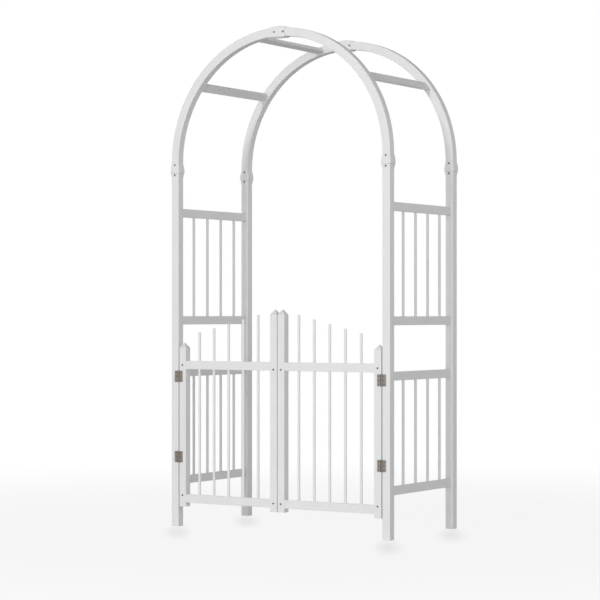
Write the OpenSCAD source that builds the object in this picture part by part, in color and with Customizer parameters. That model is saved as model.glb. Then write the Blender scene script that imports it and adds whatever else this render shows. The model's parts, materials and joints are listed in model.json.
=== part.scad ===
// Garden arch of square tube with open sides and a low double gate across its front.
// The origin is on the ground, midway between the four posts. +Z is up and the gate faces -Y.

/* [Arch] */
// Width over the outer faces of the posts
arch_w = 1144; // [1000:1:1500]
// Depth over the front and back faces of the posts
arch_d = 598; // [450:1:900]
// Height at which the sides start to bend into the arch
spring_z = 1646; // [1560:1:2000]
// Side of the square tube of the posts and arches
tube = 38; // [34:0.5:46]
// Wall of the posts and arches
tube_wall = 2.4; // [1.6:0.1:3.6]
// Radius of the outer edges of the posts and arches
tube_edge = 2.4; // [1:0.1:3.5]

/* [Sockets of the arches] */
// Length of the swollen socket at the foot of each arch half
foot_socket = 61; // [56:1:90]
// Plain straight tube between a foot socket and the bend
neck = 2; // [1:0.5:20]
// Length of the swollen socket at the crown
crown_socket = 98; // [80:1:110]
// How far the mouth of the crown socket lies past the middle
crown_offset = 40; // [25:1:50]
// How far a socket swells beyond the tube at its widest
swell = 5; // [4:0.1:7]
// How far the mouth of a socket would stand proud of the tube without a collar
mouth_step = 3.8; // [3:0.1:3.9]
// Bevel along the long edges of a socket, measured into the corner
socket_bevel = 1.7; // [1.4:0.1:3]
// Distance from a tube's end in its foot socket to where the swelling starts
shoulder = 5; // [4:0.5:12]
// Gap between a tube end and the walls of its socket
socket_fit = 0.3; // [0.1:0.05:0.5]
// Height of the collar round the mouth of a foot socket
collar_h = 16; // [12:0.5:24]
// Step between a foot socket's swelling and its collar
collar_step = 2.2; // [0.5:0.1:2.2]
// Distance of the lower screw from the mouth of its socket
screw_near = 7; // [5:0.1:7.5]
// Distance of the upper screw from the end of the tube in the socket
screw_inset = 3.5; // [3.2:0.1:20]

/* [Rails and pickets of the sides] */
// Height of the flat rail section
rail_w = 38; // [30:0.5:50]
// Thickness of the flat rail section
rail_t = 15; // [14:0.5:20]
// Wall of the rails
rail_wall = 1.2; // [1:0.1:2.5]
// Radius of the outer edges of the rails
rail_edge = 1.5; // [0.8:0.1:3]
// How deep a rail end goes into a post or arch
rail_plug = 8; // [5:0.5:20]
// Gap round a rail end in the hole that takes it
rail_fit = 0.2; // [0.1:0.05:0.4]
// Height of the middle of the lowest side rail
low_rail_z = 207; // [120:1:300]
// Height of the two bays with pickets, between the middles of their rails
bay_h = 488.5; // [400:0.5:520]
// Height of the open bay between them, between the middles of its rails
window_h = 236.5; // [150:0.5:300]
// Diameter of the round pickets
picket_d = 12; // [8:0.5:12.5]
// Gap between a picket and the hole that takes it
picket_fit = 0.2; // [0.1:0.05:0.3]
// Pickets in each bay
side_pickets = 4; // [2:1:6]
// How much wider than evenly between the posts the side pickets are spread
picket_spread = 5; // [0:0.5:8]
// How far the row of side pickets lies behind the middle of its side
pickets_back = 9; // [0:0.5:15]
// Angle of the two haunch rails from the crown
haunch_angle = 52.2; // [35:0.1:70]
// Angle of the rail left of the crown
crown_rail_angle = 13.6; // [10:0.1:25]

/* [Gate] */
// Side of the square gate stiles
stile = 36; // [30:0.5:40]
// Wall of the stiles
stile_wall = 2.4; // [1.6:0.1:3.5]
// Radius of the outer edges of the stiles
stile_edge = 2.2; // [1:0.1:3.4]
// Gap between a hinge stile and its post
hinge_gap = 4.6; // [3:0.1:7]
// Gap between the two meeting stiles
meeting_gap = 3; // [2.6:0.1:8]
// Gap under the gate
gate_base = 91; // [40:1:105]
// Height of the meeting stiles, without their caps
meeting_top = 957; // [900:1:1100]
// Height of the hinge stiles, without their caps
hinge_top = 807; // [770:1:880]
// Height of a stile cap
cap_h = 25.5; // [10:0.5:40]
// Height of the straight band at the foot of a cap
cap_band = 1.5; // [0.5:0.5:5]
// Length of a cap's spigot
spigot_h = 14; // [8:1:30]
// Gap between a spigot and the stile round it
spigot_fit = 0.2; // [0.1:0.05:0.4]
// Height of the middle of the lower gate rail
gate_rail_low = 128; // [115:0.5:200]
// Height of the middle of the upper gate rail
gate_rail_high = 730.5; // [728:0.5:780]
// How far the gate rails lie behind the front of the stiles
gate_rail_in = 3.5; // [2.8:0.1:8]
// How deep a gate rail goes into a stile
gate_plug = 26; // [21:0.5:27]
// Pickets in each gate leaf
gate_pickets = 5; // [3:1:6]
// Distance from a stile to the middle of the nearest picket
picket_margin = 69.4; // [50:0.1:90]
// How much lower each picket ends than the one before it
picket_drop = 19.75; // [5:0.25:24]

/* [Hinges] */
// Height of the hinges
hinge_h = 51; // [45:1:70]
// Width of a hinge leaf, from the pin's axis
leaf_w = 21.7; // [19:0.1:25]
// Thickness of a hinge leaf
leaf_t = 2; // [1.8:0.1:2.5]
// Diameter of a knuckle
knuckle_d = 8; // [7.5:0.1:10]
// Gap between two knuckles
knuckle_gap = 0.4; // [0.3:0.05:0.8]
// Diameter of the hinge pin
pin_d = 3.6; // [3:0.1:4.5]
// Gap between the pin and its bore
pin_fit = 0.05; // [0.02:0.01:0.1]
// Diameter of the pin's head
pin_head_d = 5.6; // [5:0.1:7]
// Height of the pin's head
pin_head_h = 1.2; // [0.8:0.1:2]
// Height of the middle of the lower hinges
hinge_low = 315.3; // [200:0.1:400]
// Height of the middle of the upper hinges
hinge_high = 679; // [500:0.1:682]
// Spacing of the three screws in a hinge leaf
hinge_screw_pitch = 18; // [14:0.5:19]
// Distance of those screws from the pin's axis
hinge_screw_at = 13; // [12:0.1:15]

/* [Screws] */
// Diameter of the screws
screw_d = 4; // [3:0.1:4.5]
// Gap round a screw in its hole
screw_fit = 0.1; // [0.05:0.05:0.3]
// Diameter of the heads of the frame screws
head_d = 7.5; // [6.5:0.1:8]
// Height of the heads of the frame screws
head_h = 2.4; // [1.8:0.1:3]
// Length of the frame screws under the head
frame_screw_l = 16; // [15:0.5:20]
// Length of the hinge screws under the face of the leaf
hinge_screw_l = 14; // [8:0.5:20]
// Diameter of the heads of the hinge screws
sunk_head_d = 6.8; // [6:0.1:7]

/* [Hidden] */
$fn = 48;

// Segments of the large arcs
arc_fn = 240;
// Extra length that carries a cut clear of the face it breaks through
past = 1;
// The two sides, the two ends and the two directions along an axis
left = -1;
right = 1;
front = -1;
back = 1;

// Middle of a post, from the middle of the arch
post_x = (arch_w - tube) / 2;
post_y = (arch_d - tube) / 2;
// Radius of the arch along the middle of the tube
arch_r = post_x;
// Bottom of the arch halves and top of the posts inside them
mouth_z = spring_z - neck - foot_socket;
post_top = spring_z - neck - shoulder;
// How deep a tube end goes into its socket, at the foot and at the crown
plug_depth = foot_socket - shoulder;
screw_far = plug_depth - screw_inset;
// Angles, from the crown, of the crown socket's mouth, widest place and inner end
function along_arch(length) = length / arch_r * 180 / PI;
crown_mouth_a = along_arch(crown_offset);
crown_widest_a = along_arch(crown_offset - crown_socket + widest(crown_socket));
crown_plug_a = along_arch(crown_offset - plug_depth);
// Extra angle that carries a cut clear of the end of an arc
past_a = 1;
// Least radius of an inner edge
inner_edge = 0.4;

// Middles of the side rails, from the bottom up
lower_rail_z = low_rail_z + bay_h;
upper_rail_z = lower_rail_z + window_h;
top_rail_z = upper_rail_z + bay_h;
side_rail_zs = [low_rail_z, lower_rail_z, upper_rail_z, top_rail_z];
side_picket_pitch = (arch_d - 2 * tube + picket_d + picket_spread) / (side_pickets + 1);
function side_picket_y(i) = pickets_back + (i - (side_pickets - 1) / 2) * side_picket_pitch;

// Gate, measured outwards from the middle of the arch
gate_y = -(arch_d - stile) / 2;
gate_rail_y = gate_rail_in + (rail_t - arch_d) / 2;
opening_x = arch_w / 2 - tube;
hinge_stile_x = opening_x - hinge_gap - stile / 2;
meeting_stile_x = (meeting_gap + stile) / 2;
bay_in = meeting_stile_x + stile / 2;
bay_out = hinge_stile_x - stile / 2;
gate_picket_pitch = (bay_out - bay_in - 2 * picket_margin) / (gate_pickets - 1);
gate_rail_zs = [gate_rail_low, gate_rail_high];
// How far inside a gate rail's edge a screw lies that isn't at its middle
rail_screw_inset = 5;

// Hinges
knuckle_r = knuckle_d / 2;
axis_x = opening_x - hinge_gap / 2;
axis_y = -arch_d / 2 - knuckle_r;
knuckles = 5;
// Height of a leaf's screw, where step is -1, 0 or 1
function leaf_screw_z(step) = hinge_h / 2 + step * hinge_screw_pitch;
knuckle_h = (hinge_h - (knuckles - 1) * knuckle_gap) / knuckles;
leaf_corner_r = 2;
// Height of the sunk cone and of the dome of a hinge screw's head
sink_h = (sunk_head_d - screw_d) / 2;
sunk_dome_h = 0.7;
// Depth of a screw hole, past the point of the longer screws
screw_reach = max(frame_screw_l, hinge_screw_l) + screw_fit;

white = "#e9e9e7";
shade = "#d9dad9";
zinc = "#9a938a";
dark = "#6f6b66";

// Length of a socket from the plain tube to its widest place
function widest(len) = len / (1 + sqrt(1 - mouth_step / swell));
// Radius of the arc along a socket's sides
function side_r(len) = (pow(widest(len), 2) + pow(swell, 2)) / (2 * swell);
// Distance of a place in a socket from its widest place
function off_widest(len, from_mouth) = len - widest(len) - from_mouth;
// How far a socket's sides stand above the plain tube
function rise(len, from_mouth) =
    sqrt(pow(side_r(len), 2) - pow(off_widest(len, from_mouth), 2)) - side_r(len) + swell;
// How far a bent tube's middle falls away from the straight line through the widest place
function fall(len, from_mouth, bend) = bend * pow(off_widest(len, from_mouth), 2) / 2;
// Distance of a screw's seat from the middle of the tube, with a collar set in by a step
function seat(len, from_mouth, step) =
    tube / 2 + min(rise(len, from_mouth - head_d / 2), rise(len, from_mouth + head_d / 2))
    - (from_mouth < collar_h ? step : 0);

module rounded_rect(w, d, edge) {
    square([w - 2 * edge, d], center = true);
    square([w, d - 2 * edge], center = true);
    for (x = [-1, 1], y = [-1, 1])
        translate([x * (w / 2 - edge), y * (d / 2 - edge)])
            circle(r = edge);
}

module hollow_rect(w, d, edge, wall) {
    difference() {
        rounded_rect(w, d, edge);
        rounded_rect(w - 2 * wall, d - 2 * wall, max(edge - wall, inner_edge));
    }
}

// A place on the arch: +Z points away from its middle and +X along it, to the right
module on_arch(angle) {
    translate([0, 0, spring_z])
        rotate([0, angle, 0])
            translate([0, 0, arch_r])
                children();
}

// Bent square bar of one side's arch half, between two angles from the crown towards that side
module bent_bar(side, row, w, edge, near, far) {
    mirror([side == left ? 1 : 0, 0, 0])
        translate([0, row * post_y, spring_z])
            rotate([0, far - 90, 0])
                rotate([90, 0, 0])
                    rotate_extrude(angle = far - near, $fn = arc_fn)
                        translate([arch_r, 0])
                            rounded_rect(w, w, edge);
}

// Frames of the sockets: the mouth is at z = 0 and faces down, and +X points out of the arch
module foot_frame(side, row) {
    translate([side * post_x, row * post_y, mouth_z])
        children();
}

module crown_frame(row) {
    translate([0, row * post_y, 0])
        on_arch(crown_widest_a)
            rotate([0, -90, 0])
                translate([0, 0, -off_widest(crown_socket, 0)])
                    children();
}

// Swollen body of a socket between two distances from its mouth, set in by a step all round
module swelling(len, bend, from = 0, to = undef, step = 0) {
    intersection() {
        translate([-tube, -tube, from])
            cube([2 * tube, 2 * tube, (is_undef(to) ? len + past : to) - from]);
        translate([0, 0, off_widest(len, 0)])
            intersection_for (a = [0 : 45 : 315]) {
                corner = a % 90 != 0;
                r = 1 / ((corner ? sqrt(2) : 1) / side_r(len) + bend * cos(a));
                flat = tube / 2 + swell - step;
                reach = corner ? sqrt(2) * flat - socket_bevel : flat;
                rotate([0, 0, a])
                    translate([reach - r, 0, 0])
                        rotate([90, 0, 0])
                            cylinder(r = r, h = 4 * tube, center = true, $fn = arc_fn);
            }
    }
}

// Socket at the foot of an arch half: a swelling that steps down to a collar at its mouth
module foot_swelling() {
    swelling(foot_socket, 0, from = collar_h);
    swelling(foot_socket, 0, to = collar_h + past, step = collar_step);
}

// Puts its children on the seats of a socket's two screws, with +Z pointing out
module on_socket_seats(len, bend, step = 0) {
    for (from_mouth = [screw_near, screw_far])
        translate([-fall(len, from_mouth, bend), -seat(len, from_mouth, step), from_mouth])
            rotate([90, 0, 0])
                children();
}

module screw_hole() {
    translate([0, 0, -screw_reach])
        cylinder(d = screw_d + 2 * screw_fit, h = screw_reach + past);
}

// Flat seat round a screw hole in the swollen wall
module spot_face() {
    cylinder(d = head_d + 2 * socket_fit, h = swell);
}

module cross_recess(reach, depth) {
    slot = 0.9;
    for (a = [0, 90])
        rotate(a)
            translate([-reach / 2, -slot / 2, -depth])
                cube([reach, slot, depth + past]);
}

module screw_shank(length) {
    tip = 3;
    point_d = 0.6;
    translate([0, 0, -length + tip])
        cylinder(d = screw_d, h = length - tip);
    translate([0, 0, -length])
        cylinder(d1 = point_d, d2 = screw_d, h = tip);
}

// Screw with a domed head whose flat underside lies at z = 0
module frame_screw() {
    dome_h = 0.6 * head_h;
    dome_r = (pow(head_d / 2, 2) + pow(dome_h, 2)) / (2 * dome_h);
    recess_depth = 1.3;
    recess_reach = 0.55 * head_d;
    difference() {
        union() {
            intersection() {
                cylinder(d = head_d, h = head_h);
                translate([0, 0, head_h - dome_r])
                    sphere(r = dome_r);
            }
            screw_shank(frame_screw_l);
        }
        translate([0, 0, head_h])
            cross_recess(recess_reach, recess_depth);
    }
}

// Screw with a sunk head whose rim lies at z = 0
module hinge_screw() {
    dome_r = (pow(sunk_head_d / 2, 2) + pow(sunk_dome_h, 2)) / (2 * sunk_dome_h);
    recess_depth = 1.1;
    recess_reach = 0.55 * sunk_head_d;
    difference() {
        union() {
            translate([0, 0, -sink_h])
                cylinder(d1 = screw_d, d2 = sunk_head_d, h = sink_h);
            intersection() {
                cylinder(d = sunk_head_d, h = sunk_dome_h);
                translate([0, 0, sunk_dome_h - dome_r])
                    sphere(r = dome_r);
            }
            screw_shank(hinge_screw_l);
        }
        translate([0, 0, sunk_dome_h])
            cross_recess(recess_reach, recess_depth);
    }
}

// Hole through a wall for the end of a flat rail that runs along z
module rail_hole(w, d) {
    linear_extrude(rail_plug + past)
        rounded_rect(w + 2 * rail_fit, d + 2 * rail_fit, rail_edge + rail_fit);
}

// Frame of the three screws of a hinge leaf, on the post side or the gate side of the pin
module on_leaf_holes(side, toward, y) {
    for (z = [hinge_low, hinge_high], step = [-1, 0, 1])
        translate([side * axis_x + toward * hinge_screw_at, y, z + step * hinge_screw_pitch])
            rotate([90, 0, 0])
                children();
}

module post(side, row) {
    color(white)
        difference() {
            translate([side * post_x, row * post_y, 0])
                linear_extrude(post_top)
                    hollow_rect(tube, tube, tube_edge, tube_wall);
            for (z = side_rail_zs)
                translate([side * post_x, row * (arch_d / 2 - tube + rail_plug), z])
                    rotate([row * 90, 0, 0])
                        rail_hole(rail_t, rail_w);
            foot_frame(side, row)
                on_socket_seats(foot_socket, 0, collar_step)
                    screw_hole();
            if (row == front)
                on_leaf_holes(side, side, -arch_d / 2)
                    screw_hole();
        }
}

// Angles of the cross rails that a side's arch half carries
function cross_rails(side) = side == left ? [-haunch_angle, -crown_rail_angle] : [haunch_angle];

module arch_half(side, row) {
    bore = tube + 2 * socket_fit;
    bore_edge = tube_edge + socket_fit;
    hollow = tube - 2 * tube_wall;
    hollow_edge = max(tube_edge - tube_wall, inner_edge);
    bend = 1 / arch_r;
    near = side == left ? -crown_plug_a - past_a : crown_plug_a;
    color(white)
        difference() {
            union() {
                bent_bar(side, row, tube, tube_edge, near, 90);
                translate([side * post_x, row * post_y, mouth_z + foot_socket / 2])
                    linear_extrude(neck + foot_socket / 2)
                        rounded_rect(tube, tube, tube_edge);
                foot_frame(side, row)
                    foot_swelling();
                if (side == left)
                    crown_frame(row)
                        swelling(crown_socket, bend);
            }
            bent_bar(side, row, hollow, hollow_edge, near - past_a, 90);
            translate([side * post_x, row * post_y, post_top - past])
                linear_extrude(spring_z - post_top + past)
                    rounded_rect(hollow, hollow, hollow_edge);
            foot_frame(side, row) {
                translate([0, 0, -past])
                    linear_extrude(plug_depth + past)
                        rounded_rect(bore, bore, bore_edge);
                on_socket_seats(foot_socket, 0, collar_step) {
                    screw_hole();
                    spot_face();
                }
            }
            crown_frame(row)
                on_socket_seats(crown_socket, bend)
                    screw_hole();
            if (side == left) {
                bent_bar(side, row, bore, bore_edge, -crown_mouth_a - past_a, -crown_plug_a);
                crown_frame(row)
                    on_socket_seats(crown_socket, bend)
                        spot_face();
            }
            for (angle = cross_rails(side))
                on_arch(angle)
                    translate([0, row * (arch_d / 2 - tube + rail_plug), 0])
                        rotate([row * 90, 0, 0])
                            rail_hole(rail_w, rail_t);
        }
}

module foot_screws() {
    color(dark)
        for (side = [left, right], row = [front, back])
            foot_frame(side, row)
                on_socket_seats(foot_socket, 0, collar_step)
                    frame_screw();
}

module crown_screws() {
    color(dark)
        for (row = [front, back])
            crown_frame(row)
                on_socket_seats(crown_socket, 1 / arch_r)
                    frame_screw();
}

// Length of a rail that runs from the front frame to the back frame
depth_rail_l = arch_d - 2 * tube + 2 * rail_plug;

module cross_rail(angle) {
    color(shade)
        on_arch(angle)
            rotate([90, 0, 0])
                linear_extrude(depth_rail_l, center = true)
                    hollow_rect(rail_w, rail_t, rail_edge, rail_wall);
}

// Side rail, bored from above or from below for the pickets of one bay, up to its far wall
module side_rail(side, z, bored) {
    color(shade)
        translate([side * post_x, 0, z])
            difference() {
                rotate([90, 0, 0])
                    linear_extrude(depth_rail_l, center = true)
                        hollow_rect(rail_t, rail_w, rail_edge, rail_wall);
                for (i = [0 : side_pickets - 1])
                    translate([0, side_picket_y(i), bored * (rail_wall + past) / 2])
                        cylinder(d = picket_d + 2 * picket_fit, h = rail_w - rail_wall + past, center = true);
            }
}

// Pickets that stand inside the rail below and end inside the rail above
module bay_pickets(side, rail_below_z, rail_above_z) {
    foot = rail_below_z - rail_w / 2 + rail_wall;
    top = rail_above_z + rail_w / 2 - rail_wall - picket_fit;
    color(white)
        for (i = [0 : side_pickets - 1])
            translate([side * post_x, side_picket_y(i), foot])
                cylinder(d = picket_d, h = top - foot);
}

// Puts its children on the four screw seats of a gate leaf, with +Z pointing out
module on_gate_seats(side) {
    off_rail = rail_w / 2 - rail_screw_inset;
    for (place = [
        [hinge_stile_x, gate_rail_high],
        [meeting_stile_x, gate_rail_high - off_rail],
        [hinge_stile_x, gate_rail_low + off_rail],
        [meeting_stile_x, gate_rail_low]
    ])
        translate([side * place[0], -arch_d / 2, place[1]])
            rotate([90, 0, 0])
                children();
}

// Gate stile: inward is the direction of its leaf's middle
module gate_stile(side, x, top, inward) {
    color(white)
        difference() {
            translate([side * x, gate_y, gate_base])
                linear_extrude(top - gate_base)
                    hollow_rect(stile, stile, stile_edge, stile_wall);
            for (z = gate_rail_zs)
                translate([side * x, gate_rail_y, z])
                    rotate([0, inward * 90, 0])
                        linear_extrude(stile / 2 + past)
                            rounded_rect(rail_w + 2 * rail_fit, rail_t + 2 * rail_fit, rail_edge + rail_fit);
            on_gate_seats(side)
                screw_hole();
            on_leaf_holes(side, -side, -arch_d / 2)
                screw_hole();
        }
}

module stile_cap(side, x, top) {
    spigot = stile - 2 * stile_wall - 2 * spigot_fit;
    half = stile / 2;
    roof = [[-half, 0], [half, 0], [half, cap_band], [0, cap_h], [-half, cap_band]];
    color(white)
        translate([side * x, gate_y, top]) {
            intersection() {
                linear_extrude(cap_h)
                    rounded_rect(stile, stile, stile_edge);
                rotate([90, 0, 0])
                    linear_extrude(stile + past, center = true)
                        polygon(roof);
                rotate([90, 0, 90])
                    linear_extrude(stile + past, center = true)
                        polygon(roof);
            }
            translate([0, 0, -spigot_h])
                linear_extrude(spigot_h)
                    rounded_rect(spigot, spigot, inner_edge);
        }
}

function gate_picket_x(i) = bay_in + picket_margin + i * gate_picket_pitch;

// Gate rail, bored for the pickets from above to its lower wall, or right through
module gate_rail(side, z, through) {
    start = bay_in - gate_plug;
    bore_z = z - rail_w / 2 + (through ? -past : rail_wall);
    color(white)
        difference() {
            translate([side * (start + bay_out + gate_plug) / 2, gate_rail_y, z])
                rotate([90, 0, 90])
                    linear_extrude(bay_out + gate_plug - start, center = true)
                        hollow_rect(rail_t, rail_w, rail_edge, rail_wall);
            for (i = [0 : gate_pickets - 1])
                translate([side * gate_picket_x(i), gate_rail_y, bore_z])
                    cylinder(d = picket_d + 2 * picket_fit, h = rail_w + 2 * past);
            on_gate_seats(side)
                screw_hole();
        }
}

module gate_leaf_pickets(side) {
    foot = gate_rail_low - rail_w / 2 + rail_wall;
    color(white)
        for (i = [0 : gate_pickets - 1])
            translate([side * gate_picket_x(i), gate_rail_y, foot])
                cylinder(d = picket_d, h = meeting_top - i * picket_drop - foot);
}

module gate_leaf_screws(side) {
    color(dark)
        on_gate_seats(side)
            frame_screw();
}

// Height of the bottom of a knuckle above the bottom of its hinge
function knuckle_z(i) = i * (knuckle_h + knuckle_gap);

// Hinge leaf: its first knuckle is the 0th on the post side and the 1st on the gate side
module hinge_leaf(side, z, toward, first) {
    color(zinc)
        translate([side * axis_x, axis_y, z - hinge_h / 2])
            mirror([toward < 0 ? 1 : 0, 0, 0])
                difference() {
                    union() {
                        translate([leaf_w / 2, knuckle_r - leaf_t, hinge_h / 2])
                            rotate([-90, 0, 0])
                                linear_extrude(leaf_t)
                                    leaf_outline();
                        for (i = [first : 2 : knuckles - 1])
                            translate([0, 0, knuckle_z(i)])
                                cylinder(r = knuckle_r, h = knuckle_h);
                    }
                    for (i = [1 - first : 2 : knuckles - 1])
                        translate([0, 0, knuckle_z(i) - knuckle_gap])
                            cylinder(r = knuckle_r + knuckle_gap, h = knuckle_h + 2 * knuckle_gap);
                    translate([0, 0, -past])
                        cylinder(d = pin_d + 2 * pin_fit, h = hinge_h + 2 * past);
                    for (step = [-1, 0, 1])
                        translate([hinge_screw_at, knuckle_r - leaf_t, leaf_screw_z(step)])
                            rotate([90, 0, 0]) {
                                screw_hole();
                                translate([0, 0, -sink_h])
                                    cylinder(
                                        d1 = screw_d + 2 * screw_fit,
                                        d2 = sunk_head_d + 2 * screw_fit,
                                        h = sink_h + screw_fit
                                    );
                            }
                }
}

// Leaf seen from the front, with its two outer corners rounded and its root square
module leaf_outline() {
    square([leaf_w, hinge_h - 2 * leaf_corner_r], center = true);
    translate([-leaf_corner_r / 2, 0])
        square([leaf_w - leaf_corner_r, hinge_h], center = true);
    for (y = [-1, 1])
        translate([leaf_w / 2 - leaf_corner_r, y * (hinge_h / 2 - leaf_corner_r)])
            circle(r = leaf_corner_r);
}

module hinge_pin(side, z) {
    color(zinc)
        translate([side * axis_x, axis_y, z - hinge_h / 2]) {
            cylinder(d = pin_d, h = hinge_h);
            translate([0, 0, hinge_h])
                cylinder(d = pin_head_d, h = pin_head_h);
        }
}

module leaf_screws(side, toward) {
    color(dark)
        on_leaf_holes(side, toward, -arch_d / 2 - leaf_t)
            hinge_screw();
}

post(left, front);  // post_front_left
post(right, front);  // post_front_right
post(left, back);  // post_back_left
post(right, back);  // post_back_right
arch_half(left, front);  // arch_front_left
arch_half(right, front);  // arch_front_right
arch_half(left, back);  // arch_back_left
arch_half(right, back);  // arch_back_right
cross_rail(-haunch_angle);  // cross_rail_left
cross_rail(-crown_rail_angle);  // cross_rail_crown
cross_rail(haunch_angle);  // cross_rail_right
side_rail(left, low_rail_z, 1);  // left_rail_bottom
side_rail(left, lower_rail_z, -1);  // left_rail_lower
side_rail(left, upper_rail_z, 1);  // left_rail_upper
side_rail(left, top_rail_z, -1);  // left_rail_top
side_rail(right, low_rail_z, 1);  // right_rail_bottom
side_rail(right, lower_rail_z, -1);  // right_rail_lower
side_rail(right, upper_rail_z, 1);  // right_rail_upper
side_rail(right, top_rail_z, -1);  // right_rail_top
bay_pickets(left, low_rail_z, lower_rail_z);  // left_pickets_lower
bay_pickets(left, upper_rail_z, top_rail_z);  // left_pickets_upper
bay_pickets(right, low_rail_z, lower_rail_z);  // right_pickets_lower
bay_pickets(right, upper_rail_z, top_rail_z);  // right_pickets_upper
foot_screws();  // arch_foot_screws
crown_screws();  // arch_crown_screws
gate_stile(left, hinge_stile_x, hinge_top, right);  // gate_left_hinge_stile
gate_stile(left, meeting_stile_x, meeting_top, left);  // gate_left_meeting_stile
gate_stile(right, hinge_stile_x, hinge_top, left);  // gate_right_hinge_stile
gate_stile(right, meeting_stile_x, meeting_top, right);  // gate_right_meeting_stile
stile_cap(left, hinge_stile_x, hinge_top);  // gate_left_hinge_cap
stile_cap(left, meeting_stile_x, meeting_top);  // gate_left_meeting_cap
stile_cap(right, hinge_stile_x, hinge_top);  // gate_right_hinge_cap
stile_cap(right, meeting_stile_x, meeting_top);  // gate_right_meeting_cap
gate_rail(left, gate_rail_high, true);  // gate_left_top_rail
gate_rail(left, gate_rail_low, false);  // gate_left_bottom_rail
gate_rail(right, gate_rail_high, true);  // gate_right_top_rail
gate_rail(right, gate_rail_low, false);  // gate_right_bottom_rail
gate_leaf_pickets(left);  // gate_left_pickets
gate_leaf_pickets(right);  // gate_right_pickets
gate_leaf_screws(left);  // gate_left_screws
gate_leaf_screws(right);  // gate_right_screws
hinge_leaf(left, hinge_low, left, 0);  // hinge_left_low_post_leaf
hinge_leaf(left, hinge_high, left, 0);  // hinge_left_high_post_leaf
hinge_leaf(right, hinge_low, right, 0);  // hinge_right_low_post_leaf
hinge_leaf(right, hinge_high, right, 0);  // hinge_right_high_post_leaf
hinge_leaf(left, hinge_low, right, 1);  // hinge_left_low_gate_leaf
hinge_leaf(left, hinge_high, right, 1);  // hinge_left_high_gate_leaf
hinge_leaf(right, hinge_low, left, 1);  // hinge_right_low_gate_leaf
hinge_leaf(right, hinge_high, left, 1);  // hinge_right_high_gate_leaf
hinge_pin(left, hinge_low);  // hinge_left_low_pin
hinge_pin(left, hinge_high);  // hinge_left_high_pin
hinge_pin(right, hinge_low);  // hinge_right_low_pin
hinge_pin(right, hinge_high);  // hinge_right_high_pin
leaf_screws(left, left);  // hinge_left_post_screws
leaf_screws(right, right);  // hinge_right_post_screws
leaf_screws(left, right);  // hinge_left_gate_screws
leaf_screws(right, left);  // hinge_right_gate_screws
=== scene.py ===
# Garden arch with a double picket gate: white extruded tube, flat rails, round rods and steel hinges.
# Everything is in metres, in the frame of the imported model: +Z is up and the gate faces -Y.
import json
import math

import bmesh
import bpy
from bpy.props import FloatProperty, FloatVectorProperty, IntProperty, PointerProperty
from mathutils import Matrix, Vector

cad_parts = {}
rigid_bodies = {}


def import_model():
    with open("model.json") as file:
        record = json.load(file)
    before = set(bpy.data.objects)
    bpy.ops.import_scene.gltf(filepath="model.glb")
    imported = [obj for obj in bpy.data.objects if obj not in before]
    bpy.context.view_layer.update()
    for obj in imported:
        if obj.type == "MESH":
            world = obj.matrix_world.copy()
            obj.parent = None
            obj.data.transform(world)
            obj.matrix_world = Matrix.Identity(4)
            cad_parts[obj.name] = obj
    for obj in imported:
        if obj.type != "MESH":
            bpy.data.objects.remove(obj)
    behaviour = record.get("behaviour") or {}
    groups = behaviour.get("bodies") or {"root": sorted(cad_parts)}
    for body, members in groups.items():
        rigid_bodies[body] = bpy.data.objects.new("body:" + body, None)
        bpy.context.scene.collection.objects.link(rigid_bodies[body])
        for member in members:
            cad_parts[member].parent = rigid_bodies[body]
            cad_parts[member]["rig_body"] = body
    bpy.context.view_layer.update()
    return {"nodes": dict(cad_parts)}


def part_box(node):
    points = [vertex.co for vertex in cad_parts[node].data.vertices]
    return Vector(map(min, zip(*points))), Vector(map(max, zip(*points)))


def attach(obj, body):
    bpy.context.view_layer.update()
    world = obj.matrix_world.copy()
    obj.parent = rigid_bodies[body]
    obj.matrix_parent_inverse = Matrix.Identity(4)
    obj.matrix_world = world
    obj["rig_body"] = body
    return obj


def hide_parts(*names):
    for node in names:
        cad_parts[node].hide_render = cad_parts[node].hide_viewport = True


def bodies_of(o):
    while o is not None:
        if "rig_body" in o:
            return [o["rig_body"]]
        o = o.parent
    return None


bl_info = {
    "name": "Garden Arch",
    "version": (1, 0, 0),
    "blender": (4, 5, 0),
    "location": "View3D > Sidebar > Garden Arch",
    "description": "Dresses a garden arch with a double picket gate, and sets up its studio",
    "category": "Add Mesh",
}

MM = 0.001
CAMERA_PLACE = Vector((4.93575, -7.81811, 0.96195))

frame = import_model()

SIDES = ("left", "right")
ROWS = ("front", "back")
HEIGHTS = ("low", "high")

# Path of the tube, from the boxes of the posts and arches
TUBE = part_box("post_front_right")[1].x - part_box("post_front_right")[0].x
ARCH_R = sum(corner.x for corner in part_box("post_front_right")) / 2
SPRING_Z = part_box("arch_front_right")[1].z - TUBE / 2 - ARCH_R


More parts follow.
